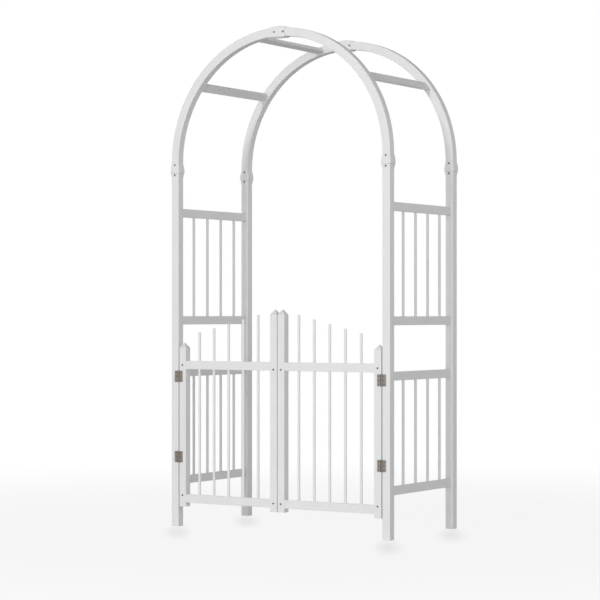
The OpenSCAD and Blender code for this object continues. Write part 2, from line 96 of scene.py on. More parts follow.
class Value:
    """Output socket of a shader node that takes part in Python arithmetic."""

    def __init__(self, tree, socket):
        self.tree = tree
        self.socket = socket

    def node(self, kind, settings=None, sockets=None, output=0):
        return add_node(self.tree, kind, settings, sockets, output)

    def math(self, operation, *operands):
        return self.node("ShaderNodeMath", {"operation": operation}, dict(enumerate(operands)))

    def __add__(self, other):
        return self.math("ADD", self, other)

    def __sub__(self, other):
        return self.math("SUBTRACT", self, other)

    def __rsub__(self, other):
        return self.math("SUBTRACT", other, self)

    def __mul__(self, other):
        return self.math("MULTIPLY", self, other)

    def __truediv__(self, other):
        return self.math("DIVIDE", self, other)

    def __pow__(self, other):
        return self.math("POWER", self, other)

    __radd__ = __add__
    __rmul__ = __mul__

    def __abs__(self):
        return self.math("ABSOLUTE", self)

    def at_least(self, other):
        return self.math("MAXIMUM", self, other)

    def at_most(self, other):
        return self.math("MINIMUM", self, other)

    def angle_from(self, other):
        """Angle whose tangent is this value over the other."""
        return self.math("ARCTAN2", self, other)

    def within(self, low, high):
        """0 at low, 1 at high, and smooth between them."""
        settings = {"interpolation_type": "SMOOTHSTEP"}
        return self.node("ShaderNodeMapRange", settings, {"Value": self, "From Min": low, "From Max": high})


def add_node(tree, kind, settings=None, sockets=None, output=0):
    """Adds a node of any kind: its settings are set first, then the values or links of its sockets."""
    made = tree.nodes.new(kind)
    for name, setting in (settings or {}).items():
        setattr(made, name, setting)
    for name, given in (sockets or {}).items():
        if isinstance(given, Value):
            tree.links.new(given.socket, made.inputs[name])
        else:
            made.inputs[name].default_value = given
    return Value(tree, made.outputs[output]) if len(made.outputs) else made


def new_material(name):
    material = bpy.data.materials.new(name)
    material.use_nodes = True
    material.node_tree.nodes.clear()
    return material, material.node_tree


def finish_material(tree, colour, roughness, normal, **constants):
    """Ends a material in its surface shader: the constants are sockets that are the same all over."""
    surface = add_node(tree, "ShaderNodeBsdfPrincipled", None, {
        "Base Color": colour,
        "Roughness": roughness,
        "Normal": normal,
        **{name.replace("_", " "): value for name, value in constants.items()},
    })
    add_node(tree, "ShaderNodeOutputMaterial", None, {"Surface": surface})


def place_on_surface(tree):
    """The x, y and z of a point on the object."""
    point = add_node(tree, "ShaderNodeTexCoord", output="Object")
    axes = [point.node("ShaderNodeSeparateXYZ", None, {"Vector": point}, axis) for axis in "XYZ"]
    return point, axes


def vector(tree, x, y, z):
    return add_node(tree, "ShaderNodeCombineXYZ", None, {"X": x, "Y": y, "Z": z})


def noise(where, density, detail, roughness=0.5):
    """Noise with so many cycles in a metre, or in a unit of the coordinates that it is given."""
    return where.node("ShaderNodeTexNoise", None, {
        "Vector": where, "Scale": density, "Detail": detail, "Roughness": roughness,
    })


def mix_colour(tree, share, low, high):
    """Colour between two others; the numbers are the colour sockets of the mix node."""
    settings = {"data_type": "RGBA"}
    return add_node(tree, "ShaderNodeMix", settings, {0: share, 6: rgba(low), 7: rgba(high)}, 2)


def rgba(colour):
    return colour if isinstance(colour, Value) else (*colour, 1)


def run_of(tree, shape, axes):
    """A place seen along a piece's own length: two coordinates across it and a third along it."""
    x, y, z = axes
    if shape == "arch":
        rise = (z - SPRING_Z).at_least(0.0)
        radius = (x * x + rise * rise) ** 0.5
        turned = rise.angle_from(abs(x)) * ARCH_R
        return radius, y, turned + z.at_most(SPRING_Z)
    return {"x": (y, z, x), "y": (x, z, y), "z": (x, y, z)}[shape]


def vinyl(name, shape, settings):
    """Extruded white vinyl: die lines along its length, a soft satin skin, a trace of dust low down, and on
    the arches a painted shade line under the step of each foot socket.
    """
    material, tree = new_material(name)
    point, axes = place_on_surface(tree)
    across, side, along = run_of(tree, shape, axes)

    drawn = vector(tree, across, side, along * settings.line_stretch)
    lines = noise(drawn, settings.line_density, detail=3.0, roughness=0.6)
    clouds = noise(point, density=7.0, detail=3.0)
    skin = noise(point, density=2600.0, detail=1.0)
    mottle = noise(point, density=90.0, detail=4.0, roughness=0.65)

    low_down = 1 - axes[2].within(0.0, settings.dust_height)
    dust = low_down * mottle.within(0.42, 0.75) * settings.dust
    tone = mix_colour(tree, clouds.within(0.3, 0.7), settings.white_warm, settings.white_cool)
    tone = mix_colour(tree, lines.within(0.35, 0.8) * 0.35, tone, settings.line_tone)
    colour = mix_colour(tree, dust, tone, settings.dust_colour)
    # On the arches, a thin dark line is painted just under the step of each foot socket: painted shade
    # where the step shades the tube.
    if shape == "arch":
        black = (0.0, 0.0, 0.0)
        under_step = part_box("arch_front_right")[0].z + settings.step_height - axes[2]
        line = under_step.within(-0.2 * MM, 0.1 * MM) * (1 - under_step.within(0.8 * MM, 2.4 * MM))
        colour = mix_colour(tree, line * settings.painted_step_shade, colour, black)

    roughness = settings.vinyl_roughness + (lines - 0.5) * 0.12 + (mottle - 0.5) * 0.1 + dust * 0.2
    height = lines * 0.7 + skin * 0.3
    normal = bump(tree, height, settings.line_depth * MM)
    finish_material(tree, colour, roughness, normal, IOR=1.5, Specular_IOR_Level=0.5)
    return material


def bump(tree, height, depth):
    """Normal of a surface that rises by depth where height is 1."""
    return add_node(tree, "ShaderNodeBump", None, {"Strength": 1.0, "Distance": depth, "Height": height})


def steel(name, settings):
    """Plated steel, brushed along Z, with dull spots and a dark line of painted shade along the pins."""
    material, tree = new_material(name)
    point, (x, y, z) = place_on_surface(tree)
    colour, dark = settings.hinge_light, settings.hinge_dark
    pin_x = abs(middle(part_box("hinge_right_low_pin")).x)
    off_pin = abs(abs(x) - pin_x)
    # Painted shade: a dark line along each pin, where the knuckles shade the leaves.
    painted_pin_shade_mask = 1 - off_pin.within(1.2 * MM, 2.8 * MM)
    brush_stretch = 0.03
    brushed = noise(vector(tree, x, y, z * brush_stretch), density=5200.0, detail=3.0, roughness=0.6)
    spots = noise(point, density=420.0, detail=5.0, roughness=0.7)
    patches = noise(point, density=85.0, detail=3.0)
    dull = spots.within(0.5, 0.72)
    tone = mix_colour(tree, brushed.within(0.3, 0.75), dark, colour)
    tone = mix_colour(tree, dull * 0.5 + patches.within(0.45, 0.7) * 0.2, tone, dark)
    tone = mix_colour(tree, painted_pin_shade_mask * settings.painted_pin_shade, tone, settings.painted_pin_shade_tone)
    rough = settings.hinge_roughness + (brushed - 0.5) * 0.25 + dull * 0.12
    normal = bump(tree, brushed, settings.brush_depth * MM)
    finish_material(tree, tone, rough, normal, Metallic=1.0)
    return material


def turned_steel(name, light, dark, settings):
    """Screw steel with fine rings round each screw's own axis: its place attribute is in millimetres."""
    material, tree = new_material(name)
    own = add_node(tree, "ShaderNodeAttribute", {"attribute_name": "place"}, output="Vector")
    x, y, z = [own.node("ShaderNodeSeparateXYZ", None, {"Vector": own}, axis) for axis in "XYZ"]
    radius = (x * x + y * y) ** 0.5
    rings = noise(vector(tree, radius, z, 0.0), density=9.0, detail=2.0)
    spots = noise(own, density=2.2, detail=4.0, roughness=0.7)
    tone = mix_colour(tree, rings.within(0.3, 0.7), dark, light)
    tone = mix_colour(tree, spots.within(0.55, 0.75) * 0.6, tone, dark)
    rough = settings.screw_roughness + (rings - 0.5) * 0.2 + (spots - 0.5) * 0.2
    normal = bump(tree, rings, settings.brush_depth * MM)
    finish_material(tree, tone, rough, normal, Metallic=1.0)
    return material


def body_of(node):
    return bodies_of(frame["nodes"][node])[0]


def dress(nodes, material):
    """Gives CAD nodes a finish and keeps their shape."""
    for node in nodes:
        for slot in frame["nodes"][node].material_slots:
            slot.material = material


def add_piece(name, bm, material, nodes, flats=True):
    """Makes a finished mesh a piece that stands for some nodes of one body and rides with them."""
    mesh = bpy.data.meshes.new(name)
    bm.to_mesh(mesh)
    bm.free()
    mesh.materials.append(material)
    mesh.shade_smooth()
    mesh.set_sharp_from_angle(angle=math.radians(38))
    piece = bpy.data.objects.new(name, mesh)
    bpy.context.scene.collection.objects.link(piece)
    if flats:
        weighted = piece.modifiers.new("Flat faces", "WEIGHTED_NORMAL")
        weighted.keep_sharp = True
    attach(piece, body_of(nodes[0]))
    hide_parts(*nodes)
    return piece


def solids(node):
    """Lowest and highest corner of each separate solid of a node, from left to right and upwards."""
    bm = bmesh.new()
    bm.from_mesh(frame["nodes"][node].data)
    bmesh.ops.remove_doubles(bm, verts=bm.verts, dist=1e-6)
    left = set(bm.verts)
    boxes = []
    while left:
        found = [left.pop()]
        for vert in found:
            beyond = {edge.other_vert(vert) for edge in vert.link_edges} & left
            left -= beyond
            found.extend(beyond)
        low = Vector([min(vert.co[axis] for vert in found) for axis in range(3)])
        high = Vector([max(vert.co[axis] for vert in found) for axis in range(3)])
        boxes.append((low, high))
    bm.free()
    return sorted(boxes, key=lambda box: (round(box[0].x, 4), round(box[0].z, 4), round(box[0].y, 4)))


def middle(box):
    return (box[0] + box[1]) / 2


def spun(profile, segments):
    """Closed solid of revolution round Z: the profile is (radius, height) pairs from bottom to top."""
    bm = bmesh.new()
    points = [bm.verts.new((radius, 0, height)) for radius, height in profile]
    edges = [bm.edges.new(pair) for pair in zip(points, points[1:])]
    bmesh.ops.spin(
        bm, geom=points + edges, cent=(0, 0, 0), axis=(0, 0, 1), angle=math.tau,
        steps=segments, use_merge=True, use_duplicate=False,
    )
    bmesh.ops.remove_doubles(bm, verts=bm.verts, dist=1e-7)
    bmesh.ops.recalc_face_normals(bm, faces=bm.faces)
    return bm


def joined(*parts):
    """One bmesh that holds the separate shells of several."""
    whole = bmesh.new()
    for part in parts:
        mesh = bpy.data.meshes.new("part")
        part.to_mesh(mesh)
        part.free()
        whole.from_mesh(mesh)
        bpy.data.meshes.remove(mesh)
    return whole


def cut(bm, cutter):
    """The first mesh without the volume of the second."""
    objects = []
    for part in (bm, cutter):
        mesh = bpy.data.meshes.new("cut")
        part.to_mesh(mesh)
        part.free()
        objects.append(bpy.data.objects.new("cut", mesh))
        bpy.context.scene.collection.objects.link(objects[-1])
    modifier = objects[0].modifiers.new("cut", "BOOLEAN")
    modifier.operation = "DIFFERENCE"
    modifier.solver = "EXACT"
    modifier.object = objects[1]
    evaluated = objects[0].evaluated_get(bpy.context.evaluated_depsgraph_get())
    result = bmesh.new()
    result.from_mesh(evaluated.to_mesh())
    for made in objects:
        mesh = made.data
        bpy.data.objects.remove(made)
        bpy.data.meshes.remove(mesh)
    return result


def sharp_edges(bm, degrees):
    return [edge for edge in bm.edges
            if len(edge.link_faces) == 2 and edge.calc_face_angle() > math.radians(degrees)]


def soften(bm, edges, width, segments=2):
    bmesh.ops.bevel(
        bm, geom=edges, offset=width, offset_type="OFFSET", segments=segments, profile=0.5,
        affect="EDGES", material=-1, clamp_overlap=True,
    )


class GardenArchFinish(bpy.types.PropertyGroup):
    """Colours and surface of the vinyl and the steel."""

    white_warm: FloatVectorProperty(
        name="Warm White", description="Warmer tone of the vinyl", subtype="COLOR",
        size=3, min=0, max=1, default=(0.79, 0.785, 0.775),
    )
    white_cool: FloatVectorProperty(
        name="Cool White", description="Cooler tone of the vinyl", subtype="COLOR",
        size=3, min=0, max=1, default=(0.80, 0.805, 0.81),
    )
    line_tone: FloatVectorProperty(
        name="Line Tone", description="Tone of the die lines", subtype="COLOR",
        size=3, min=0, max=1, default=(0.75, 0.75, 0.75),
    )
    dust_colour: FloatVectorProperty(
        name="Dust", description="Colour of the dust near the ground", subtype="COLOR",
        size=3, min=0, max=1, default=(0.60, 0.57, 0.52),
    )
    dust: FloatProperty(
        name="Dust Amount", description="How much dust lies near the ground",
        subtype="FACTOR", min=0, max=1, default=0.25,
    )
    dust_height: FloatProperty(
        name="Dust Height", description="Height over the ground at which the dust ends",
        unit="LENGTH", min=0.01, max=2, default=0.22,
    )
    step_height: FloatProperty(
        name="Step Height", description="Height of the step in a foot socket above its mouth",
        unit="LENGTH", min=0.001, max=0.05, precision=4, default=0.016,
    )
    # Painted shade: how dark the line under the step of a foot socket is painted.
    painted_step_shade: FloatProperty(
        name="Step Shade", description="How dark the dust is that has settled under that step",
        subtype="FACTOR", min=0, max=1, default=0.35,
    )
    vinyl_roughness: FloatProperty(
        name="Vinyl Roughness", description="Roughness of the vinyl",
        subtype="FACTOR", min=0, max=1, default=0.38,
    )
    line_density: FloatProperty(
        name="Line Density", description="Density of the die lines across a piece, in cycles a metre",
        min=10, max=2000, default=380,
    )
    line_stretch: FloatProperty(
        name="Line Stretch", description="How the die lines are drawn out along a piece",
        min=0.001, max=1, precision=3, default=0.006,
    )
    line_depth: FloatProperty(
        name="Line Depth", description="Depth of the die lines, in millimetres", min=0, max=1, default=0.05,
    )
    hinge_light: FloatVectorProperty(
        name="Hinge Light", description="Bright tone of the hinges", subtype="COLOR",
        size=3, min=0, max=1, default=(0.49, 0.455, 0.41),
    )
    hinge_dark: FloatVectorProperty(
        name="Hinge Dark", description="Dark tone of the hinges", subtype="COLOR",
        size=3, min=0, max=1, default=(0.30, 0.265, 0.23),
    )
    # Painted shade: tone and strength of the dark line painted along the hinge pins.
    painted_pin_shade_tone: FloatVectorProperty(
        name="Grease", description="Tone of the grease along the pins of the hinges", subtype="COLOR",
        size=3, min=0, max=1, default=(0.05, 0.044, 0.038),
    )
    painted_pin_shade: FloatProperty(
        name="Grease Amount", description="How much grease lies along the pins",
        subtype="FACTOR", min=0, max=1, default=0.85,
    )
    hinge_roughness: FloatProperty(
        name="Hinge Roughness", description="Roughness of the hinges",
        subtype="FACTOR", min=0, max=1, default=0.42,
    )
    screw_light: FloatVectorProperty(
        name="Screw Light", description="Bright tone of the screws", subtype="COLOR",
        size=3, min=0, max=1, default=(0.055, 0.053, 0.052),
    )
    screw_dark: FloatVectorProperty(
        name="Screw Dark", description="Dark tone of the screws", subtype="COLOR",
        size=3, min=0, max=1, default=(0.016, 0.0155, 0.015),
    )
    hinge_screw_light: FloatVectorProperty(
        name="Hinge Screw Light", description="Bright tone of the screws in the hinges", subtype="COLOR",
        size=3, min=0, max=1, default=(0.26, 0.24, 0.215),
    )
    hinge_screw_dark: FloatVectorProperty(
        name="Hinge Screw Dark", description="Dark tone of the screws in the hinges", subtype="COLOR",
        size=3, min=0, max=1, default=(0.13, 0.118, 0.105),
    )
    screw_roughness: FloatProperty(
        name="Screw Roughness", description="Roughness of the screws",
        subtype="FACTOR", min=0, max=1, default=0.4,
    )
    brush_depth: FloatProperty(
        name="Brush Depth", description="Depth of the marks in the steel, in millimetres",
        min=0, max=1, default=0.012,
    )


class GardenArchShape(bpy.types.PropertyGroup):
    """Sizes of the small pieces that are modelled here."""

    rod_rounding: FloatProperty(
        name="Rod Rounding", description="Radius round the top of a gate rod",
        unit="LENGTH", min=0.0002, max=0.004, precision=4, default=0.0016,
    )
    cap_corner: FloatProperty(
        name="Cap Corner", description="Radius of the corners of a stile cap",
        unit="LENGTH", min=0.0005, max=0.005, precision=4, default=0.0022,
    )
    cap_band: FloatProperty(
        name="Cap Band", description="Height of the straight band of a stile cap",
        unit="LENGTH", min=0.0005, max=0.005, precision=4, default=0.0015,
    )
    cap_tip: FloatProperty(
        name="Cap Tip", description="Width of the blunt tip of a stile cap",
        unit="LENGTH", min=0.0002, max=0.004, precision=4, default=0.0012,
    )
    spigot_inset: FloatProperty(
        name="Spigot Inset", description="How far a cap's spigot lies inside its edge",
        unit="LENGTH", min=0.001, max=0.006, precision=4, default=0.0026,
    )
    spigot_depth: FloatProperty(
        name="Spigot Depth", description="Length of a cap's spigot",
        unit="LENGTH", min=0.002, max=0.03, precision=4, default=0.014,
    )
    leaf_thickness: FloatProperty(
        name="Leaf Thickness", description="Thickness of a hinge leaf",
        unit="LENGTH", min=0.001, max=0.003, precision=4, default=0.002,
    )
    leaf_corner: FloatProperty(
        name="Leaf Corner", description="Radius of the outer corners of a hinge leaf",
        unit="LENGTH", min=0.0005, max=0.004, precision=4, default=0.002,
    )
    leaf_edge: FloatProperty(
        name="Leaf Edge", description="Rounding of the edges of a hinge leaf",
        unit="LENGTH", min=0.0001, max=0.0006, precision=5, default=0.00022,
    )
    knuckles: IntProperty(
        name="Knuckles", description="Knuckles of a hinge", min=3, max=7, default=5,
    )
    knuckle_gap: FloatProperty(
        name="Knuckle Gap", description="Gap between two knuckles",
        unit="LENGTH", min=0.0001, max=0.001, precision=5, default=0.0004,
    )
    pin_shank: FloatProperty(
        name="Pin Shank", description="Diameter of a hinge pin as a share of its head's",
        subtype="FACTOR", min=0.3, max=0.9, default=9 / 14,
    )
    screw_core: FloatProperty(
        name="Screw Core", description="Diameter of a screw at the root of its thread",
        unit="LENGTH", min=0.002, max=0.004, precision=4, default=0.0029,
    )
    screw_thread: FloatProperty(
        name="Screw Thread", description="Diameter of a screw over its thread",
        unit="LENGTH", min=0.003, max=0.005, precision=4, default=0.004,
    )
    thread_pitch: FloatProperty(
        name="Thread Pitch", description="Rise of the thread in one turn",
        unit="LENGTH", min=0.0006, max=0.003, precision=4, default=0.0014,
    )
    pan_height: FloatProperty(
        name="Pan Height", description="Height of the head of a frame screw",
        unit="LENGTH", min=0.0015, max=0.004, precision=4, default=0.0024,
    )
    dome_height: FloatProperty(
        name="Dome Height", description="Height of the dome on the head of a hinge screw",
        unit="LENGTH", min=0.0002, max=0.0015, precision=4, default=0.0007,
    )
    head_edge: FloatProperty(
        name="Head Edge", description="Rounding round the top of a pan head",
        unit="LENGTH", min=0.0003, max=0.002, precision=4, default=0.0009,
    )
    slot_width: FloatProperty(
        name="Slot Width", description="Width of the arms of the cross in a screw's head",
        unit="LENGTH", min=0.0004, max=0.002, precision=4, default=0.0010,
    )


class GardenArchStage(bpy.types.PropertyGroup):
    """Floor, light and camera."""

    floor_colour: FloatVectorProperty(
        name="Floor", description="Colour of the floor", subtype="COLOR",
        size=3, min=0, max=1, default=(0.80, 0.80, 0.805),
    )
    floor_glow: FloatProperty(
        name="Floor White", description="How far the floor is lifted to plain white near the arch",
        subtype="FACTOR", min=0, max=1, default=0.86,
    )
    fade_start: FloatProperty(
        name="Fade Start", description="Distance from the middle where the floor starts to whiten",
        unit="LENGTH", min=0, max=20, default=1.2,
    )
    fade_end: FloatProperty(
        name="Fade End", description="Distance from the middle where the floor is white",
        unit="LENGTH", min=0, max=50, default=4.5,
    )
    shade_depth: FloatProperty(
        name="Shade Depth", description="How far the floor is darkened round the feet",
        subtype="FACTOR", min=0, max=1, default=0.2,
    )
    shade_width: FloatProperty(
        name="Shade Width", description="Half the width of the shade of a foot",
        unit="LENGTH", min=0.01, max=1, default=0.085,
    )
    shade_length: FloatProperty(
        name="Shade Length", description="Half the length of the shade of a foot, towards the camera",
        unit="LENGTH", min=0.01, max=2, default=0.42,
    )
    shade_offset: FloatProperty(
        name="Shade Offset", description="How far the middle of the shade lies in front of a foot",
        unit="LENGTH", min=0, max=1, default=0.26,
    )
    ambient: FloatProperty(
        name="Ambient", description="Strength of the light from all round", min=0, max=2, default=1.0,
    )
    zenith_dimming: FloatProperty(
        name="Zenith Dimming", description="How much darker it is overhead than at the horizon",
        subtype="FACTOR", min=0, max=1, default=1.0,
    )
    key_strength: FloatProperty(
        name="Key Strength", description="Strength of the light from straight ahead",
        min=0, max=10, default=0.88,
    )
    key_height: FloatProperty(
        name="Key Height", description="Angle of the light from straight ahead over the ground",
        subtype="ANGLE", min=0, max=1.5, default=math.radians(10),
    )
    key_spread: FloatProperty(
        name="Key Spread", description="How wide the light from straight ahead looks, as an angle",
        subtype="ANGLE", min=0, max=1.5, default=math.radians(5),
    )
    fill_power: FloatProperty(
        name="Fill Power", description="Power of the broad soft lamp behind the camera",
        subtype="POWER", min=0, max=2000, default=300,
    )
    rear_power: FloatProperty(
        name="Rear Power", description="Power of the soft lamp behind the arch",
        subtype="POWER", min=0, max=2000, default=160,
    )
    focal_length: FloatProperty(
        name="Focal Length", description="Focal length of the camera, in millimetres on 36 mm",
        min=20, max=300, default=122.996,
    )


def settings_of(context, name):
    return getattr(context.scene, "garden_arch_" + name)


class GARDENARCH_OT_stage(bpy.types.Operator):
    """Adds the floor, the light and the camera"""

    bl_idname = "garden_arch.stage"
    bl_label = "Stage"

    def execute(self, context):
        stage = settings_of(context, "stage")
        add_camera(stage)
        add_floor(stage)
        add_world(stage)
        add_sun(stage)
        add_lamp("Fill", stage.fill_power, size=(6.0, 4.0), place=Vector((5.8, -10.2, 1.9)))
        add_lamp("Rear", stage.rear_power, size=(5.0, 5.0), place=Vector((-8.0, 8.6, 3.0)))
        context.scene.view_settings.view_transform = "Standard"
        return {"FINISHED"}


def add_camera(stage):
    """Camera at the photograph's place: it looks level, a little from the right."""
    azimuth = math.radians(32.64)
    horizon_below_middle = 13.79
    image_width = 600
    data = bpy.data.cameras.new("Camera")
    data.lens = stage.focal_length
    data.sensor_width = 36
    data.shift_y = horizon_below_middle / image_width
    data.clip_end = 200
    camera = bpy.data.objects.new("Camera", data)
    camera.location = CAMERA_PLACE
    camera.rotation_euler = (math.radians(90), 0, azimuth)
    bpy.context.scene.collection.objects.link(camera)
    bpy.context.scene.camera = camera


def add_floor(stage):
    """Pale floor that fades to plain white away from the arch, with a soft shade before each foot."""
    half_side = 60
    clearance = 0.5 * MM
    bm = bmesh.new()
    bmesh.ops.create_grid(bm, x_segments=1, y_segments=1, size=half_side)
    bmesh.ops.translate(bm, verts=bm.verts, vec=(0, 0, -clearance))
    mesh = bpy.data.meshes.new("floor")
    bm.to_mesh(mesh)
    bm.free()
    floor = bpy.data.objects.new("floor", mesh)
    bpy.context.scene.collection.objects.link(floor)

    material, tree = new_material("floor_paper")
    point, (x, y, z) = place_on_surface(tree)
    away = (x * x + y * y) ** 0.5
    paper = noise(point, density=300.0, detail=3.0)
    lit = add_node(tree, "ShaderNodeBsdfPrincipled", None, {
        "Base Color": rgba(stage.floor_colour), "Roughness": 0.85 + (paper - 0.5) * 0.1,
    })
    plain = add_node(tree, "ShaderNodeEmission", None, {"Color": (1, 1, 1, 1), "Strength": 1.0})
    seen = add_node(tree, "ShaderNodeLightPath", output="Is Camera Ray")
    lifted = stage.floor_glow + away.within(stage.fade_start, stage.fade_end) * (1 - stage.floor_glow)
    for row in ROWS:
        for side in SIDES:
            foot = middle(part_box(f"post_{row}_{side}"))
            from_x, from_y = x - foot.x, y - foot.y
            near = (CAMERA_PLACE - foot).xy.normalized()
            across = (from_x * near.y - from_y * near.x) / stage.shade_width
            ahead = (from_x * near.x + from_y * near.y - stage.shade_offset) / stage.shade_length
            off = (across * across + ahead * ahead) ** 0.5
            lifted = lifted - (1 - off.within(0.0, 1.0)) * stage.shade_depth
    surface = add_node(tree, "ShaderNodeMixShader", None, {0: seen * lifted, 1: lit, 2: plain})
    add_node(tree, "ShaderNodeOutputMaterial", None, {"Surface": surface})
    mesh.materials.append(material)


def add_world(stage):
    """Soft light that dims towards the zenith, and a plain white background where the camera sees it."""
    world = bpy.data.worlds.new("studio")
    bpy.context.scene.world = world
    world.use_nodes = True
    tree = world.node_tree
    tree.nodes.clear()
    seen = add_node(tree, "ShaderNodeLightPath", output="Is Camera Ray")
    facing = add_node(tree, "ShaderNodeTexCoord", output="Generated")
    up = facing.node("ShaderNodeSeparateXYZ", None, {"Vector": facing}, "Z")
    dimmed = stage.ambient * (1 - stage.zenith_dimming * up.at_least(0.0))
    strength = seen + (1 - seen) * dimmed
    background = add_node(tree, "ShaderNodeBackground", None, {"Color": (1, 1, 1, 1), "Strength": strength})
    add_node(tree, "ShaderNodeOutputWorld", None, {"Surface": background})


def add_sun(stage):
    """Light from straight ahead, so that the front posts shade what stands right behind them."""
    data = bpy.data.lights.new("Key", "SUN")
    data.energy = stage.key_strength
    data.angle = stage.key_spread
    sun = bpy.data.objects.new("Key", data)
    sun.rotation_euler = (math.pi / 2 - stage.key_height, 0, 0)
    bpy.context.scene.collection.objects.link(sun)


def add_lamp(name, power, size, place):
    """Rectangular lamp that shines at the middle of the arch and that no camera sees."""
    target = Vector((0, 0, 1.1))
    data = bpy.data.lights.new(name, "AREA")
    data.shape = "RECTANGLE"
    data.size, data.size_y = size
    data.energy = power
    lamp = bpy.data.objects.new(name, data)
    lamp.location = place
    lamp.rotation_euler = (target - place).to_track_quat("-Z", "Y").to_euler()
    lamp.visible_camera = False
    bpy.context.scene.collection.objects.link(lamp)


class GARDENARCH_OT_frame(bpy.types.Operator):
    """Finishes the posts, the arches and the gate stiles"""

    bl_idname = "garden_arch.frame"
    bl_label = "Posts, Arches and Stiles"

    def execute(self, context):
        finish = settings_of(context, "finish")
        tubes = [f"{kind}_{row}_{side}" for kind in ("post", "arch") for row in ROWS for side in SIDES]
        dress(tubes, vinyl("tube_vinyl", "arch", finish))
        stiles = [f"gate_{side}_{kind}_stile" for side in SIDES for kind in ("hinge", "meeting")]
        dress(stiles, vinyl("stile_vinyl", "z", finish))
        return {"FINISHED"}


class GARDENARCH_OT_rails(bpy.types.Operator):
    """Finishes the flat rails of the sides, the roof and the gate"""

    bl_idname = "garden_arch.rails"
    bl_label = "Rails"

    def execute(self, context):
        finish = settings_of(context, "finish")
        deep = [f"{side}_rail_{level}" for side in SIDES for level in ("bottom", "lower", "upper", "top")]
        deep += [f"cross_rail_{place}" for place in ("left", "crown", "right")]
        dress(deep, vinyl("side_rail_vinyl", "y", finish))
        wide = [f"gate_{side}_{level}_rail" for side in SIDES for level in ("top", "bottom")]
        dress(wide, vinyl("gate_rail_vinyl", "x", finish))
        return {"FINISHED"}


class GARDENARCH_OT_rods(bpy.types.Operator):
    """Finishes the rods of the sides, and models those of the gate with rounded tops"""

    bl_idname = "garden_arch.rods"
    bl_label = "Rods"

    def execute(self, context):
        shape = settings_of(context, "shape")
        material = vinyl("rod_vinyl", "z", settings_of(context, "finish"))
        dress([f"{side}_pickets_{bay}" for side in SIDES for bay in ("lower", "upper")], material)
        for side in SIDES:
            node = f"gate_{side}_pickets"
            rods = [gate_rod(box, shape.rod_rounding) for box in solids(node)]
            add_piece(f"gate_{side}_rods", joined(*rods), material, [node])
        return {"FINISHED"}


def gate_rod(box, rounding):
    """Upright rod in a box, with its top edge rounded and its foot cut off straight."""
    low, high = box
    radius = (high.x - low.x) / 2
    bm = bmesh.new()
    bmesh.ops.create_cone(
        bm, cap_ends=True, segments=40, radius1=radius, radius2=radius,
        depth=high.z - low.z, matrix=Matrix.Translation(middle(box)),
    )
    top = [edge for edge in bm.edges if all(vert.co.z > high.z - rounding for vert in edge.verts)]
    soften(bm, top, rounding, segments=5)
    return bm


class GARDENARCH_OT_caps(bpy.types.Operator):
    """Models the pyramid caps of the stiles"""

    bl_idname = "garden_arch.caps"
    bl_label = "Stile Caps"

    def execute(self, context):
        shape = settings_of(context, "shape")
        material = vinyl("cap_vinyl", "z", settings_of(context, "finish"))
        for side in SIDES:
            for kind in ("hinge", "meeting"):
                node = f"gate_{side}_{kind}_cap"
                cap = stile_cap(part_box(node), shape)
                add_piece(f"gate_{side}_{kind}_pyramid", cap, material, [node])
        return {"FINISHED"}


def stile_cap(box, shape):
    """Cap with a blunt pyramid on a short band, and a spigot under it."""
    low, high = box
    side = high.x - low.x
    seat = low.z + shape.spigot_depth
    bm = bmesh.new()
    bmesh.ops.create_cube(bm, size=1)
    bmesh.ops.scale(bm, vec=(side, side, shape.cap_band), verts=bm.verts)
    bmesh.ops.translate(bm, vec=(middle(box).x, middle(box).y, seat + shape.cap_band / 2), verts=bm.verts)
    upright = [edge for edge in bm.edges
               if abs(edge.verts[0].co.z - edge.verts[1].co.z) > shape.cap_band / 2]
    soften(bm, upright, shape.cap_corner, segments=4)

    top = max(bm.faces, key=lambda face: face.calc_center_median().z)
    made = bmesh.ops.extrude_discrete_faces(bm, faces=[top])["faces"][0]
    shrink = Matrix.Diagonal((shape.cap_tip / side, shape.cap_tip / side, 1, 1))
    at_middle = Matrix.Translation((-middle(box).x, -middle(box).y, 0))
    bmesh.ops.transform(bm, matrix=at_middle.inverted() @ shrink @ at_middle, verts=made.verts)
    tip = high.z - (high.z - seat - shape.cap_band) * shape.cap_tip / side
    bmesh.ops.translate(bm, vec=(0, 0, tip - seat - shape.cap_band), verts=made.verts)

    bottom = min(bm.faces, key=lambda face: face.calc_center_median().z)
    bmesh.ops.inset_individual(bm, faces=[bottom], thickness=shape.spigot_inset)
    foot = bmesh.ops.extrude_discrete_faces(bm, faces=[bottom])["faces"][0]
    bmesh.ops.translate(bm, vec=(0, 0, low.z - seat), verts=foot.verts)
    return bm


class GARDENARCH_OT_hinges(bpy.types.Operator):
    """Models the hinges: leaves rolled round their pins"""

    bl_idname = "garden_arch.hinges"
    bl_label = "Hinges"

    def execute(self, context):
        shape = settings_of(context, "shape")
        finish = settings_of(context, "finish")
        material = steel("hinge_steel_brushed", finish)
        for side in SIDES:
            for height in HEIGHTS:
                hinge = f"hinge_{side}_{height}"
                for first, part in enumerate(("post", "gate")):
                    node = f"{hinge}_{part}_leaf"
                    leaf = rolled_leaf(hinge, node, f"hinge_{side}_{part}_screws", first, shape)
                    add_piece(f"{node}_rolled", leaf, material, [node])
                node = f"{hinge}_pin"
                pin = hinge_pin(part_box(node), shape)
                add_piece(f"{node}_peened", pin, material, [node])
        return {"FINISHED"}


